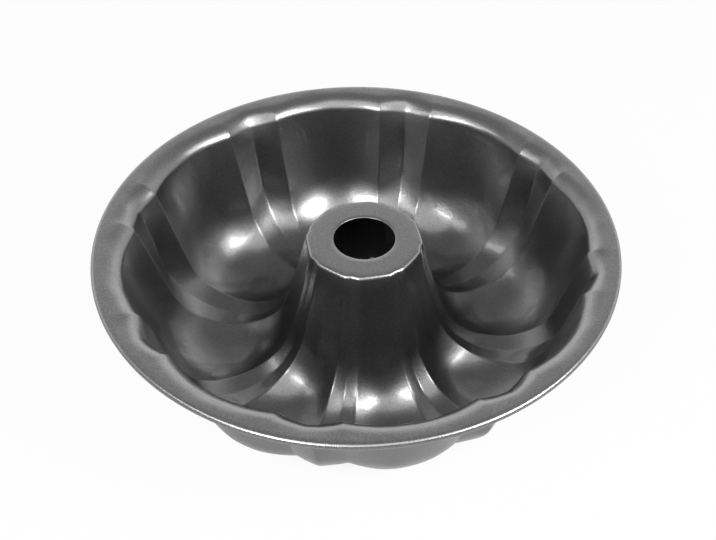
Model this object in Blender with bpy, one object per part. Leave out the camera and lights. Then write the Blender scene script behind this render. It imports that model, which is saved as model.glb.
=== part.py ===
"""Fluted tube pan: one deep-drawn steel sheet, whose edge is rolled round a wire hoop.

Metres, +Z up. The origin is on the pan's axis, level with the feet that it stands on.
The sheet's inner face is lofted between three meridians, each a chain of lines and arcs:
one along the crest between a lobe and a flute, one down the middle of a lobe, and one
along the bottom of a V-shaped flute. A meridian runs from the hole in the tube's top,
down the tube, over the floor, up the wall and out along the flange to the rolled edge.
"""

import math
from dataclasses import dataclass

import bmesh
import bpy
import numpy as np

# Sheet, wire and the rolled edge
SHEET = 0.0006
WIRE_RADIUS = 0.0008
WIRE_CLEARANCE = 0.0003
WIRE_BUTT_GAP = 0.0010
BUTT_ANGLE = math.radians(90)
ROLL_TURN = math.radians(285)

# The whole pan
RIM_RADIUS = 0.1250
INNER_DEPTH = 0.0696
TUBE_DROP = 0.0014
HOLE_RADIUS = 0.0148
CORNER_BEND = 0.0012
BRINK_BEND = 0.0025
SHOULDER_BEND = 0.0110
SHOULDER_TURN = math.radians(48)
FOOT_PRESS = 0.0004

# The pattern round the axis
LOBES = 8
FLUTE_HALF_ANGLE = math.radians(7.3)
FIRST_FLUTE = math.radians(0)
LOBE_STEPS = 8
FLUTE_STEPS = 4

# Steps along a meridian
CORNER_STEPS = 2
BEND_STEPS = 5
BRINK_STEPS = 2
SHOULDER_STEPS = 4
ROLL_STEPS = 9

WIRE_STEPS = 96
WIRE_BEVEL_RESOLUTION = 2
SHARP_ANGLE = math.radians(30)

# Worked out from the sizes above
ROLL_RADIUS = WIRE_RADIUS + WIRE_CLEARANCE + SHEET
ROLL_CENTRE = RIM_RADIUS - ROLL_RADIUS
FLANGE_TOP = SHEET + INNER_DEPTH
TUBE_TOP = FLANGE_TOP - TUBE_DROP
PERIOD = 2 * math.pi / LOBES
LOBE_HALF_ANGLE = PERIOD / 2 - FLUTE_HALF_ANGLE

UP = math.pi / 2
DOWN = 3 * math.pi / 2


@dataclass(frozen=True)
class Finish:
    """A surface's look: its colour, how rough it is and how metallic."""

    name: str
    colour: tuple
    roughness: float
    metallic: float

    def made(self):
        """The finish as a material."""
        material = bpy.data.materials.new(self.name)
        material.use_nodes = True
        shader = material.node_tree.nodes["Principled BSDF"]
        shader.inputs["Base Color"].default_value = (*self.colour, 1)
        shader.inputs["Roughness"].default_value = self.roughness
        shader.inputs["Metallic"].default_value = self.metallic
        return material


NON_STICK = Finish("dark_non_stick", colour=(0.25, 0.25, 0.25), roughness=0.25, metallic=1.0)
STEEL = Finish("steel_wire", colour=(0.55, 0.55, 0.56), roughness=0.35, metallic=1.0)


@dataclass(frozen=True)
class Meridian:
    """Sizes of one line from the tube's top to the flange, on the sheet's inner face.

    The wall's line, carried on up to the flange's top, lies the flange's width inside the
    rim. The bend at the foot of the wall isn't among the sizes: it is the one that joins
    the end of the level floor to the wall.
    """

    tube_radius: float
    tube_taper: float
    inner_bend: float
    floor_rise: float
    floor_run: float
    wall_taper: float
    flange_width: float

    def wall_radius(self):
        """Radius at which the wall's line reaches the level of the flange."""
        return RIM_RADIUS - self.flange_width

    def points(self):
        """(radius, height) of each station, from the hole to the end of the rolled edge."""
        floor = SHEET + self.floor_rise
        inner_radius = (
            self.tube_radius
            + (TUBE_TOP - floor - self.inner_bend) * math.tan(self.tube_taper)
            + self.inner_bend / math.cos(self.tube_taper)
        )
        outer_radius = inner_radius + self.floor_run
        wall_foot = self.wall_radius() - (FLANGE_TOP - floor) * math.tan(self.wall_taper)
        outer_bend = (wall_foot - outer_radius) / (
            1 / math.cos(self.wall_taper) - math.tan(self.wall_taper)
        )
        inner = arc(
            (inner_radius, floor + self.inner_bend), self.inner_bend,
            math.pi + self.tube_taper, DOWN, BEND_STEPS,
        )
        outer = arc(
            (outer_radius, floor + outer_bend), outer_bend,
            DOWN, 2 * math.pi - self.wall_taper, BEND_STEPS,
        )
        return np.concatenate([
            [(HOLE_RADIUS, TUBE_TOP)],
            self.corner(),
            inner,
            outer,
            self.brink(),
            roll(),
        ])

    def corner(self):
        """Arc from the level ring on the tube into the tube's tapered side."""
        turn = UP - self.tube_taper
        start = self.tube_radius - CORNER_BEND * math.tan(turn / 2)
        return arc((start, TUBE_TOP - CORNER_BEND), CORNER_BEND, UP, UP - turn, CORNER_STEPS)

    def brink(self):
        """The turn from the wall into the flange: a tight arc, then the wide shoulder.

        They meet at the shoulder's slope. The radius at which the level flange starts
        is the one that brings the tight arc onto the wall's line.
        """
        wall, slope = UP - self.wall_taper, SHOULDER_TURN
        fall = (
            SHOULDER_BEND * (1 - math.cos(slope))
            + BRINK_BEND * (math.cos(slope) - math.cos(wall))
        )
        flange_start = (
            self.wall_radius()
            - fall / math.tan(wall)
            + BRINK_BEND * (math.sin(wall) - math.sin(slope))
            + SHOULDER_BEND * math.sin(slope)
        )
        shoulder_middle = np.array([flange_start, FLANGE_TOP - SHOULDER_BEND])
        towards_edge = np.array([-math.sin(slope), math.cos(slope)])
        middle = shoulder_middle + (SHOULDER_BEND - BRINK_BEND) * towards_edge
        return np.concatenate([
            arc(middle, BRINK_BEND, UP + wall, UP + slope, BRINK_STEPS),
            arc(shoulder_middle, SHOULDER_BEND, UP + slope, UP, SHOULDER_STEPS)[1:],
        ])


CREST = Meridian(
    tube_radius=0.0280,
    tube_taper=math.radians(14.7),
    inner_bend=0.0300,
    floor_rise=0.0036,
    floor_run=0.0012,
    wall_taper=math.radians(16),
    flange_width=0.0154,
)
LOBE = Meridian(
    tube_radius=0.0273,
    tube_taper=math.radians(14),
    inner_bend=0.0260,
    floor_rise=-FOOT_PRESS,
    floor_run=0.0030,
    wall_taper=math.radians(13),
    flange_width=0.0128,
)
FLUTE = Meridian(
    tube_radius=0.0273,
    tube_taper=math.radians(15.4),
    inner_bend=0.0265,
    floor_rise=0.0021,
    floor_run=0.0012,
    wall_taper=math.radians(11),
    flange_width=0.0140,
)


def arc(centre, radius, start, end, steps):
    """Points on a circle from one angle to another, both ends included."""
    angles = np.linspace(start, end, steps + 1)
    return np.stack(
        [centre[0] + radius * np.cos(angles), centre[1] + radius * np.sin(angles)], axis=1
    )


def roll():
    """The rolled edge, outwards, down and back under the flange, round the wire."""
    return arc(
        (ROLL_CENTRE, FLANGE_TOP - ROLL_RADIUS), ROLL_RADIUS, UP, UP - ROLL_TURN, ROLL_STEPS
    )


def round_the_axis():
    """Angle, lobe share and flute share of each column of the loft.

    Across a lobe the share is a parabola, 1 in its middle and 0 at the crests, and
    across a flute it is two straight lines that meet in a V.
    """
    columns = []
    for lobe in range(LOBES):
        flute_middle = FIRST_FLUTE + lobe * PERIOD
        for step in range(FLUTE_STEPS):
            share = 2 * step / FLUTE_STEPS - 1
            columns.append((flute_middle + share * FLUTE_HALF_ANGLE, 0.0, 1 - abs(share)))
        lobe_middle = flute_middle + PERIOD / 2
        for step in range(LOBE_STEPS):
            share = 2 * step / LOBE_STEPS - 1
            columns.append((lobe_middle + share * LOBE_HALF_ANGLE, 1 - share**2, 0.0))
    return np.array(columns)


def inner_face():
    """Grid of points, one row for each station of the meridians and one column for each angle."""
    crest = CREST.points()
    angle, lobe, flute = round_the_axis().T
    profile = (
        crest[:, None]
        + (LOBE.points() - crest)[:, None] * lobe[:, None]
        + (FLUTE.points() - crest)[:, None] * flute[:, None]
    )
    radius, height = profile[..., 0], np.maximum(profile[..., 1], SHEET)
    return np.stack([radius * np.cos(angle), radius * np.sin(angle), height], axis=-1)


def place(name, data, material):
    made = bpy.data.objects.new(name, data)
    made.data.materials.append(material)
    bpy.context.scene.collection.objects.link(made)
    return made


def pan_shell():
    """The drawn sheet: its inner face as a loft, given its thickness on the outside."""
    grid = inner_face()
    mesh = bmesh.new()
    rows = [[mesh.verts.new(point) for point in row] for row in grid]
    for lower, upper in zip(rows, rows[1:]):
        for column in range(len(lower)):
            after = (column + 1) % len(lower)
            mesh.faces.new((lower[column], upper[column], upper[after], lower[after]))
    data = bpy.data.meshes.new("pan_shell")
    mesh.to_mesh(data)
    mesh.free()
    data.shade_smooth()
    data.set_sharp_from_angle(angle=SHARP_ANGLE)
    shell = place("pan_shell", data, NON_STICK.made())
    thickness = shell.modifiers.new("sheet", "SOLIDIFY")
    thickness.thickness = SHEET
    thickness.offset = -1
    thickness.use_even_offset = True
    return shell


def rim_wire():
    """The steel wire inside the rolled edge: a hoop whose two ends nearly meet."""
    data = bpy.data.curves.new("rim_wire", "CURVE")
    data.dimensions = "3D"
    data.bevel_depth = WIRE_RADIUS
    data.bevel_resolution = WIRE_BEVEL_RESOLUTION
    data.use_fill_caps = True
    half_gap = WIRE_BUTT_GAP / 2 / ROLL_CENTRE
    angles = np.linspace(
        BUTT_ANGLE + half_gap, BUTT_ANGLE + 2 * math.pi - half_gap, WIRE_STEPS + 1
    )
    hoop = data.splines.new("POLY")
    hoop.points.add(WIRE_STEPS)
    for point, angle in zip(hoop.points, angles):
        point.co = (
            ROLL_CENTRE * math.cos(angle),
            ROLL_CENTRE * math.sin(angle),
            FLANGE_TOP - ROLL_RADIUS,
            1,
        )
    return place("rim_wire", data, STEEL.made())


def main():
    for old in list(bpy.data.objects):
        bpy.data.objects.remove(old, do_unlink=True)
    pan_shell()
    rim_wire()


main()
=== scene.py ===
"""Dresses the fluted tube pan: the drawn sheet and the wire in its rolled edge.

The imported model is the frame. Both of its nodes are replaced by finer surfaces of the
same form, worked out with numpy on grids of two parameters: one along a meridian, from
the hole in the tube to the rolled edge, and one round the axis.
"""

import logging
import math
from dataclasses import dataclass, field
from enum import Enum
from typing import Any, Iterable, Sequence, Union

import bpy
import numpy as np
from mathutils import Matrix, Vector


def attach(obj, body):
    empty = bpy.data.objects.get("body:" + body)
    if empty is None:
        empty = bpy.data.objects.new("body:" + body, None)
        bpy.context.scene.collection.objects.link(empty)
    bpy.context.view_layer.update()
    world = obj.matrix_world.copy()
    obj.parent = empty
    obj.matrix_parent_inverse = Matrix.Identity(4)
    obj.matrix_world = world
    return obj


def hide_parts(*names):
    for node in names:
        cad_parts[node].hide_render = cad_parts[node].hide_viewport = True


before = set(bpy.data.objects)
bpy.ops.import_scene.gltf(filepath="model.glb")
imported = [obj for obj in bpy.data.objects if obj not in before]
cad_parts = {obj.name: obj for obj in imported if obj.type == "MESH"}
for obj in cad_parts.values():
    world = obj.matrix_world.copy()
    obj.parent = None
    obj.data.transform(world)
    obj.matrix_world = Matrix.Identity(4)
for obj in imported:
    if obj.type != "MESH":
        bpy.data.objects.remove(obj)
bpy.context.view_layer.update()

MM = 0.001
GOLDEN_ANGLE = math.pi * (3 - math.sqrt(5))
NOISE_MIDDLE = 0.5
WHITE = (1.0, 1.0, 1.0, 1.0)
log = logging.getLogger("tube_pan")

Colour = tuple[float, float, float]
Operand = Union["Wire", float]


# Shader nodes


class Operation(Enum):
    """The operations of a Math node that are used."""

    ADD = "ADD"
    SUBTRACT = "SUBTRACT"
    MULTIPLY = "MULTIPLY"
    MAXIMUM = "MAXIMUM"


class Ray(Enum):
    """The outputs of a Light Path node that tell what a ray has come from."""

    CAMERA = "Is Camera Ray"
    GLOSSY = "Is Glossy Ray"
    TRANSMISSION = "Is Transmission Ray"


class Wire:
    """An output socket on which Python's operators add Math nodes."""

    def __init__(self, bench: "Bench", socket: bpy.types.NodeSocket | None) -> None:
        """Keeps the bench and the socket, which is None for a material's last node."""
        self.bench = bench
        self.socket = socket

    def _with(self, operation: Operation, first: Operand, second: Operand) -> "Wire":
        """The Math node of one operation on two operands."""
        settings = {"operation": operation.value}
        return self.bench.node("ShaderNodeMath", settings, {0: first, 1: second})

    def __add__(self, other: Operand) -> "Wire":
        """self + other."""
        return self._with(Operation.ADD, self, other)

    def __sub__(self, other: Operand) -> "Wire":
        """self - other."""
        return self._with(Operation.SUBTRACT, self, other)

    def __rsub__(self, other: float) -> "Wire":
        """other - self."""
        return self._with(Operation.SUBTRACT, other, self)

    def __mul__(self, other: Operand) -> "Wire":
        """self * other."""
        return self._with(Operation.MULTIPLY, self, other)

    def maximum(self, other: Operand) -> "Wire":
        """The larger of self and other."""
        return self._with(Operation.MAXIMUM, self, other)

    __radd__ = __add__
    __rmul__ = __mul__


class Bench:
    """Makes the nodes of one material or world."""

    def __init__(self, tree: bpy.types.NodeTree) -> None:
        """Empties the tree, so that every node in it is one made here."""
        tree.nodes.clear()
        self.tree = tree

    def node(
        self,
        kind: str,
        settings: dict[str, Any] | None = None,
        sockets: dict[Union[int, str], Any] | None = None,
        output: Union[int, str] = 0,
    ) -> Wire:
        """Adds a node.

        Args:
            kind: The node's type name.
            settings: Its own properties; "stops" gives a colour ramp's stops as
                (position, grey) pairs.
            sockets: For each input, by name or number, a Wire to link or a value to set.
            output: The output that the returned wire carries.

        Returns:
            The wire from that output, without a socket where the node has no outputs.
        """
        made = self.tree.nodes.new(kind)
        for name, value in (settings or {}).items():
            if name == "stops":
                self._ramp(made.color_ramp, value)
            else:
                setattr(made, name, value)
        for name, value in (sockets or {}).items():
            if isinstance(value, Wire):
                self.tree.links.new(value.socket, made.inputs[name])
            else:
                made.inputs[name].default_value = value
        return Wire(self, made.outputs[output] if made.outputs else None)

    @staticmethod
    def _ramp(ramp: bpy.types.ColorRamp, stops: Sequence[tuple[float, float]]) -> None:
        """Sets a ramp of greys.

        Args:
            ramp: The colour ramp of a node.
            stops: Its stops as (position, grey) pairs, in order.
        """
        while len(ramp.elements) < len(stops):
            ramp.elements.new(1.0)
        for element, (position, grey) in zip(ramp.elements, stops):
            element.position = position
            element.color = (grey, grey, grey, 1.0)

    def noise(
        self, where: Wire, size: float, detail: float = 2.0, roughness: float = 0.5
    ) -> Wire:
        """Noise about NOISE_MIDDLE.

        Args:
            where: The place that it is read at.
            size: About how large its grains are, in metres.
            detail: Number of finer layers added to it.
            roughness: How strong each finer layer is beside the one before.

        Returns:
            The noise's value.
        """
        sockets = {"Vector": where, "Scale": 1 / size, "Detail": detail, "Roughness": roughness}
        return self.node("ShaderNodeTexNoise", {"noise_dimensions": "3D"}, sockets, "Fac")

    def bump(self, relief: Wire) -> Wire:
        """Normals of a relief whose height is given in metres."""
        sockets = {"Strength": 1.0, "Distance": 1.0, "Height": relief}
        return self.node("ShaderNodeBump", {}, sockets, "Normal")

    def grey(self, level: Wire) -> Wire:
        """The grey colour of a level."""
        return self.node("ShaderNodeCombineColor", {}, {0: level, 1: level, 2: level})

    def smooth_range(
        self, value: Wire, start: float, end: float, low: float = 0.0, high: float = 1.0
    ) -> Wire:
        """A smooth step of a value.

        Args:
            value: The value that it is a step of.
            start: The value at which the step begins.
            end: The value at which it ends.
            low: What it gives up to the start.
            high: What it gives from the end on.

        Returns:
            The step's value.
        """
        return self.node("ShaderNodeMapRange", {"interpolation_type": "SMOOTHSTEP"}, {
            "Value": value, "From Min": start, "From Max": end, "To Min": low, "To Max": high,
        })


def material(name: str) -> tuple[bpy.types.Material, Bench]:
    """A new material.

    Args:
        name: Its name.

    Returns:
        The material and the bench of its nodes.
    """
    made = bpy.data.materials.new(name)
    made.use_nodes = True
    return made, Bench(made.node_tree)


@dataclass(frozen=True)
class NonStick:
    """Dark grey non-stick coating with fine metallic flakes in it.

    The flakes stand at slightly different angles, which breaks a highlight into grains,
    and the sprayed film has the low, wide waves of orange peel. Painted light: between the
    heights painted_top_light_from and painted_top_light_to the colour turns paler, so that the
    flange and the tube's ring stand lit above the shaded inside of the pan.
    """

    name: str = "dark_non_stick"
    colour: float = 0.128
    metallic: float = 1.0
    # painted light: the level tops are coloured paler than the shaded inside of the pan
    painted_top_light_colour: float = 0.20
    painted_top_light_from: float = 66 * MM
    painted_top_light_to: float = 69 * MM
    roughness: float = 0.31
    coat: float = 0.4
    coat_roughness: float = 0.10
    noise_detail: float = 3.0
    flake_size: float = 0.75 * MM
    flake_height: float = 0.07 * MM
    flake_contrast: float = 0.9
    peel_size: float = 3.0 * MM
    peel_height: float = 0.010 * MM
    mottle_size: float = 18 * MM
    mottle_depth: float = 0.03

    def made(self) -> bpy.types.Material:
        """The coating as a material.

        Returns:
            A material whose base colour, roughness and bump vary with place.
        """
        result, bench = material(self.name)
        where = bench.node("ShaderNodeTexCoord", output="Object")
        flakes = bench.noise(where, self.flake_size, self.noise_detail) - NOISE_MIDDLE
        peel = bench.noise(where, self.peel_size) - NOISE_MIDDLE
        mottle = bench.noise(where, self.mottle_size, self.noise_detail) - NOISE_MIDDLE
        height = bench.node("ShaderNodeSeparateXYZ", {}, {0: where}, "Z")
        # painted light: paler colour on the flange and the tube's ring, darker colour inside the
        # pan where its own walls shade it
        base = bench.smooth_range(
            height, self.painted_top_light_from, self.painted_top_light_to, self.colour, self.painted_top_light_colour
        )
        tone = base * (1 + flakes * self.flake_contrast)
        shader = bench.node("ShaderNodeBsdfPrincipled", {}, {
            "Base Color": bench.grey(tone),
            "Metallic": self.metallic,
            "Roughness": self.roughness + mottle * self.mottle_depth,
            "Normal": bench.bump(flakes * self.flake_height + peel * self.peel_height),
            "Coat Weight": self.coat,
            "Coat Roughness": self.coat_roughness,
        })
        bench.node("ShaderNodeOutputMaterial", {}, {"Surface": shader})
        return result


@dataclass(frozen=True)
class DrawnSteel:
    """Bare steel wire, with the fine scratches of the die that it was drawn through."""

    name: str = "steel_wire"
    colour: Colour = (0.55, 0.55, 0.56)
    metallic: float = 1.0
    roughness: float = 0.34
    scratch_size: float = 0.20 * MM
    scratch_height: float = 0.004 * MM
    scratch_contrast: float = 0.1

    def made(self) -> bpy.types.Material:
        """The wire's surface as a material.

        Returns:
            A material whose roughness and bump vary with place.
        """
        result, bench = material(self.name)
        where = bench.node("ShaderNodeTexCoord", output="Object")
        scratches = bench.noise(where, self.scratch_size)
        shader = bench.node("ShaderNodeBsdfPrincipled", {}, {
            "Base Color": (*self.colour, 1.0),
            "Metallic": self.metallic,
            "Roughness": self.roughness + (scratches - NOISE_MIDDLE) * self.scratch_contrast,
            "Normal": bench.bump(scratches * self.scratch_height),
        })
        bench.node("ShaderNodeOutputMaterial", {}, {"Surface": shader})
        return result


# Curves and grids


UP = math.pi / 2
DOWN = 3 * math.pi / 2


def arc(
    centre: tuple[float, float], radius: float, start: float, end: float, steps: int
) -> np.ndarray:
    """Points on a circle from one angle to another, both ends included.

    Args:
        centre: The circle's middle, as (radius from the axis, height).
        radius: The circle's radius.
        start: Angle of the first point.
        end: Angle of the last point.
        steps: Number of steps between them.

    Returns:
        An array of (radius, height) rows.
    """
    angles = np.linspace(start, end, steps + 1)
    return np.stack(
        [centre[0] + radius * np.cos(angles), centre[1] + radius * np.sin(angles)], axis=1
    )


def between(first: np.ndarray, last: np.ndarray, steps: int) -> np.ndarray:
    """Points that divide a straight run evenly, without its two ends."""
    shares = np.linspace(0, 1, steps + 1)[1:-1, None]
    return (1 - shares) * np.asarray(first) + shares * np.asarray(last)


def smooth_step(value: np.ndarray) -> np.ndarray:
    """0 up to 0, 1 from 1 on, and 3v² - 2v³ between them."""
    inside = np.clip(value, 0, 1)
    return inside**2 * (3 - 2 * inside)


def soft_positive(value: np.ndarray, width: np.ndarray | float) -> np.ndarray:
    """max(value, 0) with its corner rounded off: half of value plus root(value² + width²)."""
    return (value + np.sqrt(value**2 + width**2)) / 2


def grid_mesh(name: str, points: np.ndarray, closed_rows: bool) -> bpy.types.Object:
    """Makes a mesh of four-sided faces from a grid of points.

    Args:
        name: The object's name.
        points: Array of shape (rows, columns, 3). The columns always close on themselves.
        closed_rows: Whether the last row joins the first.

    Returns:
        The object, shaded smooth, at the origin.
    """
    rows, columns = points.shape[:2]
    index = np.arange(rows * columns).reshape(rows, columns)
    lower = index if closed_rows else index[:-1]
    upper = np.roll(index, -1, axis=0) if closed_rows else index[1:]
    faces = np.stack(
        [lower, upper, np.roll(upper, -1, axis=1), np.roll(lower, -1, axis=1)], axis=-1
    ).reshape(-1, 4)
    mesh = bpy.data.meshes.new(name)
    mesh.vertices.add(rows * columns)
    mesh.vertices.foreach_set("co", points.astype(np.float32).ravel())
    mesh.loops.add(faces.size)
    mesh.loops.foreach_set("vertex_index", faces.astype(np.int32).ravel())
    mesh.polygons.add(len(faces))
    mesh.polygons.foreach_set("loop_start", np.arange(0, faces.size, 4, dtype=np.int32))
    mesh.polygons.foreach_set("loop_total", np.full(len(faces), 4, dtype=np.int32))
    mesh.update(calc_edges=True)
    mesh.validate()
    mesh.shade_smooth()
    made = bpy.data.objects.new(name, mesh)
    bpy.context.scene.collection.objects.link(made)
    return made


# The pan


@dataclass(frozen=True)
class Steps:
    """Number of steps that each run of a meridian is divided into."""

    top: int = 5
    corner: int = 5
    tube: int = 8
    inner_bend: int = 13
    floor: int = 3
    outer_bend: int = 19
    wall: int = 6
    brink: int = 5
    shoulder: int = 8
    flange: int = 3
    roll: int = 18
    edge: int = 4


@dataclass(frozen=True)
class Meridian:
    """Sizes of one line from the tube's top to the flange, on the sheet's inner face.

    tube_radius is where the tube's side would meet the level ring, and wall_radius where
    the wall's line would reach the flange. floor_rise is the floor's height over the feet.
    """

    tube_radius: float
    tube_taper: float
    inner_bend: float
    floor_rise: float
    floor_run: float
    wall_taper: float
    wall_radius: float

    def stations(self, pan: "PanSheet") -> np.ndarray:
        """Points along the meridian, as a chain of straight runs and arcs.

        The tube's corner is an arc tangent to a level face and to a tapered wall. The
        bend at the foot of the wall is the arc that joins the end of the level floor to
        the wall.

        Args:
            pan: The sheet that gives the heights and bends shared by all meridians.

        Returns:
            An array of (radius, height) rows, from the hole to the end of the roll.
        """
        steps = pan.steps
        floor = pan.sheet + self.floor_rise
        inner_radius = (
            self.tube_radius
            + (pan.tube_top - floor - self.inner_bend) * math.tan(self.tube_taper)
            + self.inner_bend / math.cos(self.tube_taper)
        )
        outer_radius = inner_radius + self.floor_run
        wall_foot = self.wall_radius - (pan.flange_top - floor) * math.tan(self.wall_taper)
        outer_bend = (wall_foot - outer_radius) / (
            1 / math.cos(self.wall_taper) - math.tan(self.wall_taper)
        )
        corner = self._corner(
            self.tube_radius, pan.tube_top, pan.corner_bend, self.tube_taper, steps.corner
        )
        shoulder, brink = self._brink(pan)
        inner = arc(
            (inner_radius, floor + self.inner_bend), self.inner_bend,
            math.pi + self.tube_taper, DOWN, steps.inner_bend,
        )
        outer = arc(
            (outer_radius, floor + outer_bend), outer_bend,
            DOWN, 2 * math.pi - self.wall_taper, steps.outer_bend,
        )
        roll = arc(
            (pan.roll_centre, pan.flange_top - pan.roll_radius), pan.roll_radius,
            UP, UP - pan.roll_turn, steps.roll,
        )
        hole = np.array([[pan.hole_radius + pan.sheet / 2, pan.tube_top]])
        return np.concatenate([
            hole,
            between(hole[0], corner[0], steps.top),
            corner,
            between(corner[-1], inner[0], steps.tube),
            inner,
            between(inner[-1], outer[0], steps.floor),
            outer,
            between(outer[-1], brink[0], steps.wall),
            brink[:-1],
            shoulder,
            between(shoulder[-1], roll[0], steps.flange),
            roll,
        ])

    def _brink(self, pan: "PanSheet") -> tuple[np.ndarray, np.ndarray]:
        """The turn from the flange into the wall, as two arcs tangent to each other.

        The shoulder is a wide arc that leaves the flange and slopes down towards the
        axis. The brink is a tight one that turns from that slope into the wall. Where
        the flange ends follows from the wall's line, which the brink has to meet.

        Args:
            pan: The sheet that gives the flange's height, the bends and the slope.

        Returns:
            The shoulder's and the brink's points, both in order from the wall outwards.
        """
        slope, wide, tight = pan.shoulder_turn, pan.shoulder_bend, pan.brink_bend
        fall = wide * (1 - math.cos(slope)) + tight * (math.cos(slope) - math.sin(self.wall_taper))
        flange_end = (
            self.wall_radius
            - fall * math.tan(self.wall_taper)
            + tight * (math.cos(self.wall_taper) - math.sin(slope))
            + wide * math.sin(slope)
        )
        shoulder = arc(
            (flange_end, pan.flange_top - wide), wide, UP + slope, UP, pan.steps.shoulder
        )
        towards = np.array([math.cos(UP + slope), math.sin(UP + slope)])
        middle = shoulder[0] - towards * tight
        brink = arc(
            (middle[0], middle[1]), tight, math.pi - self.wall_taper, UP + slope,
            pan.steps.brink,
        )
        return shoulder, brink

    @staticmethod
    def _corner(
        radius: float, height: float, bend: float, taper: float, steps: int
    ) -> np.ndarray:
        """Arc tangent to a level face and to a tapered side.

        Args:
            radius: Where the side's line would meet the level face.
            height: The level face's height.
            bend: The arc's radius.
            taper: The side's angle from the upright.
            steps: Number of steps along the arc.

        Returns:
            Its points, from the level face to the side.
        """
        turn = UP - taper
        reach = bend * math.tan(turn / 2)
        return arc((radius - reach, height - bend), bend, UP, UP - turn, steps)


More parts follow.
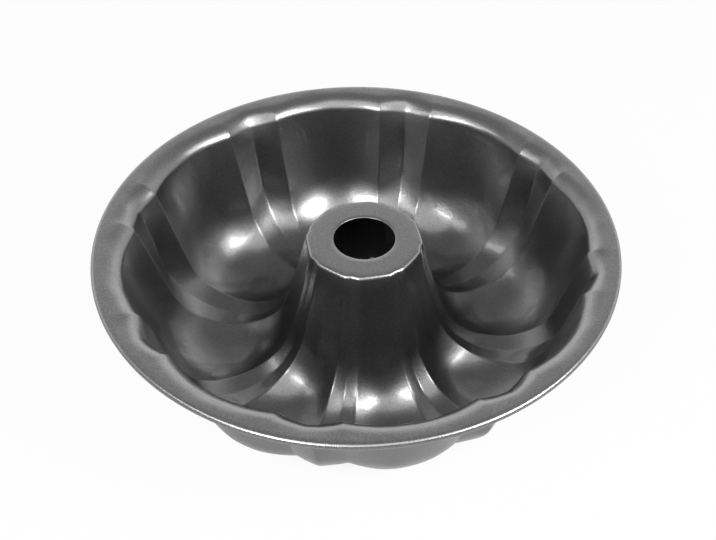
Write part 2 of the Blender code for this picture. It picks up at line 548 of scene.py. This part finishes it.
@dataclass(frozen=True)
class PanSheet:
    """The drawn sheet: tube, floor, lobes, flutes, wall, flange and rolled edge.

    The crest is the line between a lobe and a flute. The lobe's and the flute's lines run
    down their middles. The lobe's floor would lie below the feet, which are pressed flat.
    """

    sheet: float = 0.6 * MM
    rim_radius: float = 125 * MM
    roll_radius: float = 1.7 * MM
    roll_turn: float = math.radians(285)
    depth: float = 69.6 * MM
    tube_drop: float = 1.4 * MM
    hole_radius: float = 14.8 * MM
    corner_bend: float = 1.9 * MM
    shoulder_bend: float = 11 * MM
    shoulder_turn: float = math.radians(48)
    brink_bend: float = 6 * MM
    lobes: int = 8
    flute_half_angle: float = math.radians(7.3)
    crest_round: float = 0.5 * MM
    valley_round: float = 0.4 * MM
    foot_round: float = 0.08 * MM
    foot_reach: float = 2 * MM
    crease_columns: int = 13
    crease_crowding: float = 1.6
    flute_columns: int = 4
    lobe_columns: int = 18
    wave_depth: float = 0.45 * MM
    wave_lengths: tuple[float, ...] = (34 * MM, 23 * MM, 17 * MM)
    wave_slants: tuple[float, float] = (0.6, 0.8)
    wave_stretch: float = 0.8
    wave_fade: float = 6 * MM
    pocket_depth: float = 1.3 * MM
    pocket_reach: float = 6 * MM
    pocket_drop: float = 4 * MM
    streak_depth: float = 0.10 * MM
    streak_counts: tuple[int, int] = (19, 13)
    streak_shift: float = 1.0
    streak_margin: float = 3 * MM
    streak_end: float = 14 * MM
    streak_radius: float = 60 * MM
    crease_reach: float = math.radians(1.6)
    crest: Meridian = Meridian(
        tube_radius=28.0 * MM, tube_taper=math.radians(14.7), inner_bend=30 * MM,
        floor_rise=3.6 * MM, floor_run=1.2 * MM, wall_taper=math.radians(16),
        wall_radius=109.6 * MM,
    )
    lobe: Meridian = Meridian(
        tube_radius=27.3 * MM, tube_taper=math.radians(14), inner_bend=26 * MM,
        floor_rise=-0.4 * MM, floor_run=3 * MM, wall_taper=math.radians(13),
        wall_radius=112.2 * MM,
    )
    flute: Meridian = Meridian(
        tube_radius=27.3 * MM, tube_taper=math.radians(15.4), inner_bend=26.5 * MM,
        floor_rise=2.1 * MM, floor_run=1.2 * MM, wall_taper=math.radians(11),
        wall_radius=111.0 * MM,
    )
    steps: Steps = field(default_factory=Steps)
    finish: NonStick = field(default_factory=NonStick)

    @property
    def flange_top(self) -> float:
        """Height of the flange's upper face."""
        return self.sheet + self.depth

    @property
    def tube_top(self) -> float:
        """Height of the level ring on the tube."""
        return self.flange_top - self.tube_drop

    @property
    def roll_centre(self) -> float:
        """Radius at which the middle of the rolled edge runs."""
        return self.rim_radius - self.roll_radius

    @property
    def period(self) -> float:
        """Angle from one flute to the next."""
        return 2 * math.pi / self.lobes

    def angles(self) -> np.ndarray:
        """Angles of the columns, close together at each crest and at the flutes' bottoms.

        Returns:
            One increasing array for a whole turn, its first column on a flute's bottom.
        """
        half = self.period / 2
        shares = np.linspace(0, 1, self.crease_columns // 2 + 1)
        crease = self.crease_reach * shares**self.crease_crowding
        side = np.concatenate([
            crease,
            np.linspace(
                crease[-1], self.flute_half_angle - self.crease_reach, self.flute_columns + 1
            )[1:-1],
            self.flute_half_angle - crease[::-1],
            self.flute_half_angle + crease[1:],
            np.linspace(
                self.flute_half_angle + self.crease_reach, half, self.lobe_columns // 2 + 1
            )[1:],
        ])
        one = np.concatenate([side, 2 * half - side[-2:0:-1]])
        return np.concatenate([one + lobe * self.period for lobe in range(self.lobes)])

    def shares(self, angle: np.ndarray, radius: np.ndarray) -> tuple[np.ndarray, np.ndarray]:
        """How far the sheet goes from the crest's meridian to the lobe's and the flute's.

        Across a lobe the share is a parabola, 1 in its middle and 0 at the crests. Across
        a flute it is two straight lines that meet in a V. Each corner of these curves is
        rounded over the same width in metres at every radius.

        Args:
            angle: Angle of each column.
            radius: Radius of each station, as a column of one.

        Returns:
            The lobe's share and the flute's share, each of shape (stations, columns).
        """
        half = self.period / 2
        offset = (angle + half) % self.period - half
        lobe_half = half - self.flute_half_angle
        from_flute = np.sqrt(offset**2 + (self.valley_round / radius) ** 2)
        flute = 1 - from_flute / self.flute_half_angle
        lobe = 1 - ((half - from_flute) / lobe_half) ** 2
        flute_width = self.crest_round / radius / self.flute_half_angle
        lobe_width = 2 * self.crest_round / radius / lobe_half
        full = soft_positive(np.ones_like(radius), lobe_width)
        return soft_positive(lobe, lobe_width) / full, soft_positive(flute, flute_width)

    def inner_face(self) -> np.ndarray:
        """The sheet's inner face.

        Each point is the crest's meridian plus the lobe's share of the way to the lobe's
        meridian plus the flute's share of the way to the flute's. No point goes below
        the level of the feet, which presses the lobes' lowest parts flat.

        Returns:
            An array of shape (stations, columns, 3).
        """
        crest, lobe, flute = (m.stations(self) for m in (self.crest, self.lobe, self.flute))
        angle = self.angles()
        lobe_share, flute_share = self.shares(angle, crest[:, :1])
        profile = (
            crest[:, None]
            + (lobe - crest)[:, None] * lobe_share[..., None]
            + (flute - crest)[:, None] * flute_share[..., None]
        )
        radius = profile[..., 0]
        rise = profile[..., 1] - self.sheet
        pressed_flat = self.sheet + soft_positive(rise, self.foot_round)
        height = np.where(rise > self.foot_reach, profile[..., 1], pressed_flat)
        smooth = np.stack([radius * np.cos(angle), radius * np.sin(angle), height], axis=-1)
        pressed = self.waves(smooth) + self.pockets(smooth, flute_share) + self.streaks(smooth)
        return smooth - self.normals(smooth) * pressed[..., None]

    def pockets(self, points: np.ndarray, flute_share: np.ndarray) -> np.ndarray:
        """How far the flutes' upper ends are pressed in past the flutes' own line.

        It is the depth of a pocket times s(2 - s), where s is the flute's share, times e
        to the power -(distance / reach)². The distance is measured from a point on the
        line of the flute's wall, pocket_drop under the flange.

        Args:
            points: The face, of shape (stations, columns, 3).
            flute_share: The flute's share at each of its points.

        Returns:
            An array of shape (stations, columns).
        """
        radius = np.hypot(points[..., 0], points[..., 1])
        above = points[..., 2] - (self.flange_top - self.pocket_drop)
        distance = np.hypot(radius - self.flute.wall_radius, above)
        across = flute_share * (2 - flute_share)
        return self.pocket_depth * across * np.exp(-((distance / self.pocket_reach) ** 2))

    def streaks(self, points: np.ndarray) -> np.ndarray:
        """How far fine upright streaks of the drawing lie under the tube's face.

        It is the depth times the product of two sines of the angle round the axis, moved
        to lie between 0 and 1, times steps that leave out all but the tube's side.

        Args:
            points: The face, of shape (stations, columns, 3).

        Returns:
            An array of shape (stations, columns).
        """
        angle = np.arctan2(points[..., 1], points[..., 0])
        first, second = self.streak_counts
        share = (1 + np.sin(first * angle) * np.sin(second * angle + self.streak_shift)) / 2
        below = smooth_step((self.tube_top - self.streak_margin - points[..., 2]) / self.wave_fade)
        above = smooth_step((points[..., 2] - self.streak_end) / self.wave_fade)
        inside = np.hypot(points[..., 0], points[..., 1]) < self.streak_radius
        return self.streak_depth * share * below * above * inside

    def waves(self, points: np.ndarray) -> np.ndarray:
        """How far the pressed sheet lies under its ideal face, as low uneven waves.

        Each wavelength gives one term: a product of two sines, one across each of two
        level directions that turn by the golden angle from term to term, both shifted
        by a share of the height and by the term's number. Their mean, moved to lie
        between 0 and 1, is multiplied by the depth, by steps that leave out the tube's
        top and the rolled edge, and by one that leaves out the feet.

        Args:
            points: The face, of shape (stations, columns, 3).

        Returns:
            An array of shape (stations, columns).
        """
        x, y, z = np.moveaxis(points, -1, 0)
        radius = np.hypot(x, y)
        total = np.zeros_like(radius)
        first_slant, second_slant = self.wave_slants
        for term, length in enumerate(self.wave_lengths):
            turn = term * GOLDEN_ANGLE
            number = 2 * math.pi / length
            across = x * math.cos(turn) + y * math.sin(turn) + z * first_slant
            along = y * math.cos(turn) - x * math.sin(turn) + z * second_slant
            along *= self.wave_stretch
            total += np.sin(number * across + term) * np.sin(number * along + 2 * term)
        share = (1 + total / len(self.wave_lengths)) / 2
        inner = smooth_step((radius - self.lobe.tube_radius) / self.wave_fade)
        outer = smooth_step((self.roll_centre - radius) / self.wave_fade)
        feet = smooth_step((z - self.sheet) / self.wave_fade)
        return self.wave_depth * share * inner * outer * feet

    @staticmethod
    def normals(points: np.ndarray) -> np.ndarray:
        """Unit normals of a grid whose columns close on themselves.

        Each is the cross product of the step along the meridian and the step round the
        axis, both taken between the neighbours on either side.

        Args:
            points: The grid, of shape (stations, columns, 3).

        Returns:
            An array of the same shape.
        """
        along = np.gradient(points, axis=0)
        around = np.roll(points, -1, axis=1) - np.roll(points, 1, axis=1)
        normal = np.cross(along, around)
        return normal / np.linalg.norm(normal, axis=-1, keepdims=True)

    def surface(self) -> np.ndarray:
        """The whole skin of the sheet as one closed grid.

        The inner face is followed by a half circle round the cut end of the roll, the
        outer face, which is the inner face moved back by the sheet's thickness along its
        normals, and a half circle round the edge of the hole.

        Returns:
            An array of shape (rows, columns, 3), whose last row joins the first.
        """
        inner = self.inner_face()
        normal = self.normals(inner)
        outer = inner - normal * self.sheet
        half = self.sheet / 2
        turn = np.linspace(0, math.pi, self.steps.edge + 1)[1:-1, None, None]

        def rounded(row: int, before: int) -> np.ndarray:
            """Half circle from the inner face to the outer one, past an end of the sheet.

            Args:
                row: The station at that end.
                before: The station next to it.

            Returns:
                The rows between the two faces.
            """
            ahead = inner[row] - inner[before]
            ahead /= np.linalg.norm(ahead, axis=-1, keepdims=True)
            middle = inner[row] - normal[row] * half
            return middle + half * (np.cos(turn) * normal[row] + np.sin(turn) * ahead)

        return np.concatenate([inner, rounded(-1, -2), outer[::-1], rounded(0, 1)[::-1]])

    def build(self) -> bpy.types.Object:
        """Builds and dresses the sheet in place of the CAD node.

        Returns:
            The sheet's object.
        """
        made = grid_mesh("pan_sheet", self.surface(), closed_rows=True)
        made.data.materials.append(self.finish.made())
        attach(made, "root")
        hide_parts("pan_shell")
        return made


@dataclass(frozen=True)
class RimWire:
    """The steel wire inside the rolled edge: a hoop whose two ends nearly meet."""

    pan: PanSheet
    wire_radius: float = 0.8 * MM
    butt_gap: float = 1.0 * MM
    butt_angle: float = math.radians(90)
    columns: int = 288
    sides: int = 16
    end_round: float = 0.15 * MM
    tip_share: float = 0.02
    finish: DrawnSteel = field(default_factory=DrawnSteel)

    def surface(self) -> np.ndarray:
        """The wire's skin: a circle carried round the hoop, drawn in at both ends.

        A point is the hoop's radius plus the circle's size times the cosine of the angle
        round the wire, and the hoop's height plus the size times its sine.

        Returns:
            An array of shape (rows along the wire, points round it, 3).
        """
        hoop = self.pan.roll_centre
        half_gap = self.butt_gap / 2 / hoop
        inset = self.end_round / hoop
        start, end = self.butt_angle + half_gap, self.butt_angle + 2 * math.pi - half_gap
        run = np.concatenate([
            [start, start],
            np.linspace(start + inset, end - inset, self.columns + 1),
            [end, end],
        ])
        size = np.full(len(run), self.wire_radius)
        size[[1, -2]] -= self.end_round
        size[[0, -1]] *= self.tip_share
        around = np.linspace(0, 2 * math.pi, self.sides, endpoint=False)
        radius = hoop + size[:, None] * np.cos(around)
        height = self.pan.flange_top - self.pan.roll_radius + size[:, None] * np.sin(around)
        return np.stack(
            [radius * np.cos(run)[:, None], radius * np.sin(run)[:, None], height], axis=-1
        )

    def build(self) -> bpy.types.Object:
        """Builds and dresses the hoop in place of the CAD node.

        Returns:
            The hoop's object.
        """
        made = grid_mesh("wire_hoop", self.surface()[:, ::-1], closed_rows=False)
        made.data.materials.append(self.finish.made())
        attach(made, "root")
        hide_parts("rim_wire")
        return made


# The studio


@dataclass(frozen=True)
class SoftBox:
    """An oval studio lamp that looks at the pan.

    Its place is given as an angle round the axis, an angle from straight overhead and a
    distance, and its size as the angles that it fills as seen from the pan.
    """

    name: str
    azimuth: float
    zenith: float
    across: float
    along: float
    radiance: float
    distance: float = 1.3

    def build(self, middle: Vector) -> bpy.types.Object:
        """Makes the lamp.

        Args:
            middle: The place that it looks at and is measured from.

        Returns:
            The lamp's object.
        """
        lamp = bpy.data.lights.new(self.name, "AREA")
        lamp.shape = "ELLIPSE"
        lamp.size = 2 * self.distance * math.tan(math.radians(self.across) / 2)
        lamp.size_y = 2 * self.distance * math.tan(math.radians(self.along) / 2)
        lamp.energy = self.radiance * math.pi * lamp.size * lamp.size_y
        made = bpy.data.objects.new(self.name, lamp)
        bpy.context.scene.collection.objects.link(made)
        azimuth, zenith = math.radians(self.azimuth), math.radians(self.zenith)
        towards = Vector((
            math.cos(azimuth) * math.sin(zenith),
            math.sin(azimuth) * math.sin(zenith),
            math.cos(zenith),
        ))
        made.location = middle + towards * self.distance
        made.rotation_euler = (-towards).to_track_quat("-Z", "Y").to_euler()
        return made


@dataclass(frozen=True)
class Studio:
    """White floor and surround, soft lamps, and the photograph's camera.

    The camera's values are those of a fit to the photograph: the focal length and the
    point where its axis meets the picture, in pixels of a picture 716 wide, its distance
    from the middle of the rim, its place beside the axis, and its angles.
    """

    pan: PanSheet
    floor_size: float = 12.0
    floor_grey: float = 0.4
    floor_glow: float = 0.95
    floor_mirrored: float = 0.30
    world_grey: float = 0.30
    backdrop: tuple[tuple[float, float], ...] = (
        (0.0, 1.0), (0.45, 0.95), (0.62, 0.54), (0.72, 0.42), (0.80, 0.29), (0.9, 0.25),
        (1.0, 0.32),
    )
    backdrop_level: float = 1.7
    bright_side: tuple[float, float, float] = (-0.26, 0.97, 0.0)
    side_from: float = -0.5
    side_to: float = 0.5
    dark_share: float = 0.2
    # painted shadow: radii over which the floor's white fades in round the pan
    painted_shadow_from: float = 0.050
    painted_shadow_to: float = 0.090
    # painted shade: radii over which the floor's painted black under the tube turns grey
    painted_black_from: float = 0.010
    painted_black_to: float = 0.040
    picture: tuple[int, int] = (716, 540)
    focal_pixels: float = 1100.0
    axis_pixel: tuple[float, float] = (514.4, 258.9)
    distance: float = 0.5295
    beside: float = 0.0730
    behind: float = -0.0015
    elevation: float = math.radians(43.22)
    azimuth: float = math.radians(1.46)
    roll: float = math.radians(7.01)
    sensor: float = 36.0
    lamps: tuple[SoftBox, ...] = (
        SoftBox("screen_front", azimuth=-74, zenith=35, across=84, along=52, radiance=1.8),
        SoftBox("screen_left", azimuth=-150, zenith=48, across=20, along=18, radiance=3.6),
        SoftBox("screen_right", azimuth=-14, zenith=51, across=50, along=32, radiance=1.5),
        SoftBox("lamp_right", azimuth=-18, zenith=51, across=34, along=22, radiance=15.0),
        SoftBox("lamp_left", azimuth=-112, zenith=52, across=26, along=20, radiance=17.0),
    )

    def floor(self) -> bpy.types.Object:
        """The floor: white to the camera, less so in reflections, and grey to other light.

        What is left of the grey under the white keeps a faint shadow. As a painted shadow the white
        fades out under the pan, and under the tube the floor is painted black, a painted shade
        that keeps the hole dark.

        Returns:
            The floor's object.
        """
        half = self.floor_size / 2
        corners = np.array([[-half, -half, 0], [half, -half, 0], [half, half, 0], [-half, half, 0]])
        mesh = bpy.data.meshes.new("studio_floor")
        mesh.from_pydata(corners.tolist(), [], [(0, 1, 2, 3)])
        made = bpy.data.objects.new("studio_floor", mesh)
        bpy.context.scene.collection.objects.link(made)
        surface, bench = material("studio_floor")
        where = bench.node("ShaderNodeTexCoord", output="Object")
        away = bench.node("ShaderNodeVectorMath", {"operation": "LENGTH"}, {0: where}, "Value")
        # painted shadow: no white on the floor under the pan
        white_outside_painted_shadow = bench.smooth_range(away, self.painted_shadow_from, self.painted_shadow_to)
        # painted shade: black floor under the tube, so that the hole looks dark
        grey_outside_painted_black = bench.smooth_range(away, self.painted_black_from, self.painted_black_to)
        camera = bench.node("ShaderNodeLightPath", output=Ray.CAMERA.value)
        mirrored = self.floor_mirrored + camera * (self.floor_glow - self.floor_mirrored)
        white = self._seen(bench) * white_outside_painted_shadow * mirrored
        colour = bench.grey(grey_outside_painted_black * self.floor_grey)
        pale = bench.node("ShaderNodeBsdfDiffuse", {}, {"Color": colour})
        glow = bench.node("ShaderNodeEmission", {}, {"Color": WHITE})
        mixed = bench.node("ShaderNodeMixShader", {}, {0: white, 1: pale, 2: glow})
        bench.node("ShaderNodeOutputMaterial", {}, {"Surface": mixed})
        mesh.materials.append(surface)
        return made

    @staticmethod
    def _seen(bench: Bench) -> Wire:
        """1 for a ray of any of the kinds in Ray, and 0 for other light."""
        camera, glossy, through = (
            bench.node("ShaderNodeLightPath", output=ray.value) for ray in Ray
        )
        return camera.maximum(glossy.maximum(through))

    def surround(self) -> None:
        """The world: a backdrop that is pale low down and grey overhead.

        Its greys follow the height of the direction, and fall to the dark share on the
        side away from bright_side. Reflections see them times backdrop_level, and as light
        it gives the share world_grey of that. The camera sees it white everywhere.
        """
        world = bpy.data.worlds.new("studio_surround")
        world.use_nodes = True
        bench = Bench(world.node_tree)
        camera = bench.node("ShaderNodeLightPath", output=Ray.CAMERA.value)
        direction = bench.node("ShaderNodeTexCoord", output="Generated")
        height = bench.node("ShaderNodeSeparateXYZ", {}, {0: direction}, "Z")
        backdrop = bench.node("ShaderNodeValToRGB", {"stops": self.backdrop}, {0: height})
        towards = bench.node(
            "ShaderNodeVectorMath",
            {"operation": "DOT_PRODUCT"},
            {0: direction, 1: self.bright_side},
            "Value",
        )
        side = bench.smooth_range(towards, self.side_from, self.side_to, self.dark_share)
        seen = self.world_grey + self._seen(bench) * (1.0 - self.world_grey)
        level = backdrop * side * seen * (1 - camera) * self.backdrop_level + camera
        light = bench.node("ShaderNodeBackground", {}, {"Color": WHITE, "Strength": level})
        bench.node("ShaderNodeOutputWorld", {}, {"Surface": light})
        bpy.context.scene.world = world

    def camera(self) -> bpy.types.Object:
        """The camera, placed so that its picture lies over the photograph.

        Returns:
            The camera's object.
        """
        back = Vector((0, -math.cos(self.elevation), math.sin(self.elevation)))
        right = Vector((1, 0, 0))
        up = back.cross(right)
        across = right * math.cos(self.roll) + up * math.sin(self.roll)
        upright = up * math.cos(self.roll) - right * math.sin(self.roll)
        middle = Vector((self.beside, self.behind, self.pan.flange_top - self.pan.roll_radius))
        turn = Matrix.Rotation(self.azimuth, 3, "Z")
        axes = Matrix([turn @ axis for axis in (across, upright, back)]).transposed()
        place = axes.to_4x4()
        place.translation = turn @ (middle + back * self.distance)
        width, height = self.picture
        lens = bpy.data.cameras.new("picture_camera")
        lens.sensor_fit = "HORIZONTAL"
        lens.sensor_width = self.sensor
        lens.lens = self.focal_pixels * self.sensor / width
        lens.shift_x = (width / 2 - self.axis_pixel[0]) / width
        lens.shift_y = (self.axis_pixel[1] - height / 2) / width
        made = bpy.data.objects.new("picture_camera", lens)
        bpy.context.scene.collection.objects.link(made)
        made.matrix_world = place
        bpy.context.scene.camera = made
        return made

    def build(self) -> None:
        """Sets up floor, surround, lamps and camera."""
        self.floor()
        self.surround()
        middle = Vector((0, 0, self.pan.flange_top / 2))
        for lamp in self.lamps:
            lamp.build(middle)
        self.camera()
        bpy.context.scene.view_settings.view_transform = "Standard"


def report(pieces: Iterable[bpy.types.Object]) -> None:
    """Logs the name and the number of faces of each piece.

    Args:
        pieces: The objects of the pan's pieces.
    """
    for piece in pieces:
        log.info("%s: %d faces", piece.name, len(piece.data.polygons))


def main() -> None:
    """Builds the pan and the studio round it."""
    logging.basicConfig(level=logging.INFO, format="%(message)s")
    pan = PanSheet()
    report([pan.build(), RimWire(pan).build()])
    Studio(pan).build()


if __name__ == "__main__":
    main()
